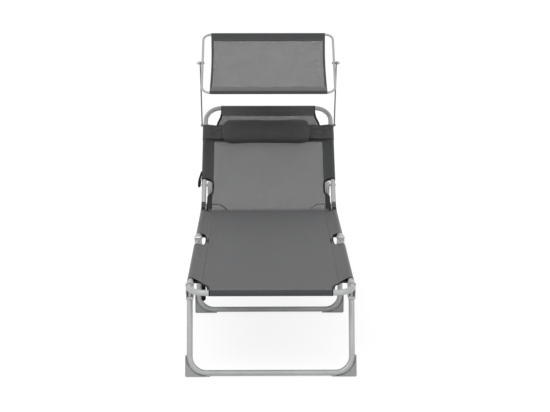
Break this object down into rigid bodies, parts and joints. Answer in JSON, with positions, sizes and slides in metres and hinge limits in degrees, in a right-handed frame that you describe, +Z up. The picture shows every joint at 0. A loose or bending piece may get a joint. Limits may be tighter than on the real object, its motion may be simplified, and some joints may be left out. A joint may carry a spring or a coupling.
{
  "type": "sun lounger with canopy",
  "caption": "Folding sun lounger on U-shaped legs, with grey mesh cloth, a ratchet backrest, a sliding head pillow and a small tilting sun canopy.",
  "frame": {"origin": "on the floor, in the middle of the bounding box", "axes": "+Y from the foot end to the head end, +X to the right seen from the foot end, +Z up"},
  "size_m": [0.6124, 1.7154, 1.0128],
  "materials": {
    "frame_paint": "satin light grey powder coat on steel tube",
    "plated_steel": "zinc-plated pressed steel, semi-bright",
    "shoe_plastic": "matt mid-grey moulding",
    "mesh_cloth": "coated mesh weave, mid grey, matt",
    "pillow_cloth": "coated mesh weave, dark grey, matt",
    "webbing": "black woven webbing"
  },
  "bodies": {
    "seat": {"seat_tube_left": "frame_paint", "seat_tube_right": "frame_paint", "seat_cloth": "mesh_cloth", "middle_leg_bracket_left": "frame_paint", "middle_leg_bracket_right": "frame_paint", "middle_bracket_rivet_left": "plated_steel", "middle_bracket_rivet_right": "plated_steel", "middle_leg_pin_left": "plated_steel", "middle_leg_pin_right": "plated_steel", "foot_hinge_fork_left": "plated_steel", "foot_hinge_fork_right": "plated_steel", "foot_hinge_pin_left": "plated_steel", "foot_hinge_pin_right": "plated_steel", "ratchet_housing_left": "plated_steel", "ratchet_housing_right": "plated_steel", "hip_pin_left": "plated_steel", "hip_pin_right": "plated_steel"},
    "foot": {"foot_frame": "frame_paint", "foot_cloth": "mesh_cloth", "tie_strap": "webbing", "foot_hinge_tongue_left": "plated_steel", "foot_hinge_tongue_right": "plated_steel", "front_leg_bracket_left": "frame_paint", "front_leg_bracket_right": "frame_paint", "front_bracket_rivet_left": "plated_steel", "front_bracket_rivet_right": "plated_steel", "front_leg_pin_left": "plated_steel", "front_leg_pin_right": "plated_steel"},
    "front_leg": {"front_leg_tube": "frame_paint", "front_leg_shoe_left": "shoe_plastic", "front_leg_shoe_right": "shoe_plastic"},
    "middle_leg": {"middle_leg_tube": "frame_paint", "middle_leg_shoe_left": "shoe_plastic", "middle_leg_shoe_right": "shoe_plastic"},
    "back": {"back_frame": "frame_paint", "back_cloth": "mesh_cloth", "hip_loop": "webbing", "ratchet_gear_left": "plated_steel", "ratchet_gear_right": "plated_steel", "rear_leg_rivet_left": "plated_steel", "rear_leg_rivet_right": "plated_steel", "arm_bolt_left": "plated_steel", "arm_bolt_right": "plated_steel"},
    "rear_leg": {"rear_leg_tube": "frame_paint", "rear_leg_shoe_left": "shoe_plastic", "rear_leg_shoe_right": "shoe_plastic"},
    "head_pillow": {"pillow": "pillow_cloth", "pillow_band": "pillow_cloth"},
    "canopy_arms": {"canopy_arm_left": "plated_steel", "canopy_arm_right": "plated_steel"},
    "canopy": {"canopy_frame": "frame_paint", "canopy_joint_plug": "plated_steel", "canopy_cloth": "mesh_cloth", "canopy_bolt_left": "plated_steel", "canopy_bolt_right": "plated_steel"},
    "wing_nut_left_body": {"wing_nut_left": "plated_steel"},
    "wing_nut_right_body": {"wing_nut_right": "plated_steel"},
    "pawl_left": {"ratchet_pawl_left": "plated_steel"},
    "pawl_right": {"ratchet_pawl_right": "plated_steel"}
  },
  "joints": [
    {"name": "back_recline", "type": "hinge", "parent": "seat", "child": "back", "pos_m": [0, 0.44419, 0.3], "axis": [1, 0, 0], "range_deg": [-43, 80]},
    {"name": "foot_fold", "type": "hinge", "parent": "seat", "child": "foot", "pos_m": [0, -0.11081, 0.312], "axis": [1, 0, 0], "range_deg": [-160, 0]},
    {"name": "front_leg_fold", "type": "hinge", "parent": "foot", "child": "front_leg", "pos_m": [0, -0.74181, 0.273], "axis": [1, 0, 0], "range_deg": [0, 105]},
    {"name": "middle_leg_fold", "type": "hinge", "parent": "seat", "child": "middle_leg", "pos_m": [0, -0.05181, 0.273], "axis": [1, 0, 0], "range_deg": [0, 90]},
    {"name": "rear_leg_swing", "type": "hinge", "parent": "back", "child": "rear_leg", "pos_m": [0, 0.53926, 0.38866], "axis": [1, 0, 0], "range_deg": [-35, 100]},
    {"name": "canopy_arm_tilt", "type": "hinge", "parent": "back", "child": "canopy_arms", "pos_m": [0, 0.77695, 0.61031], "axis": [-1, 0, 0], "range_deg": [-50, 70]},
    {"name": "canopy_tilt", "type": "hinge", "parent": "canopy_arms", "child": "canopy", "pos_m": [0, 0.65124, 0.89805], "axis": [1, 0, 0], "continuous": true},
    {"name": "pillow_slide", "type": "slide", "parent": "back", "child": "head_pillow", "axis": [0, 0.7314, 0.682], "range_m": [-0.15, 0]},
    {"name": "pawl_release_left", "type": "hinge", "parent": "seat", "child": "pawl_left", "pos_m": [-0.275, 0.42669, 0.305], "axis": [-1, 0, 0], "range_deg": [0, 14]},
    {"name": "wing_nut_turn_left", "type": "hinge", "parent": "canopy", "child": "wing_nut_left_body", "pos_m": [-0.2975, 0.65124, 0.89805], "axis": [1, 0, 0], "continuous": true},
    {"name": "pawl_release_right", "type": "hinge", "parent": "seat", "child": "pawl_right", "pos_m": [0.275, 0.42669, 0.305], "axis": [-1, 0, 0], "range_deg": [0, 14]},
    {"name": "wing_nut_turn_right", "type": "hinge", "parent": "canopy", "child": "wing_nut_right_body", "pos_m": [0.2975, 0.65124, 0.89805], "axis": [1, 0, 0], "continuous": true}
  ]
}
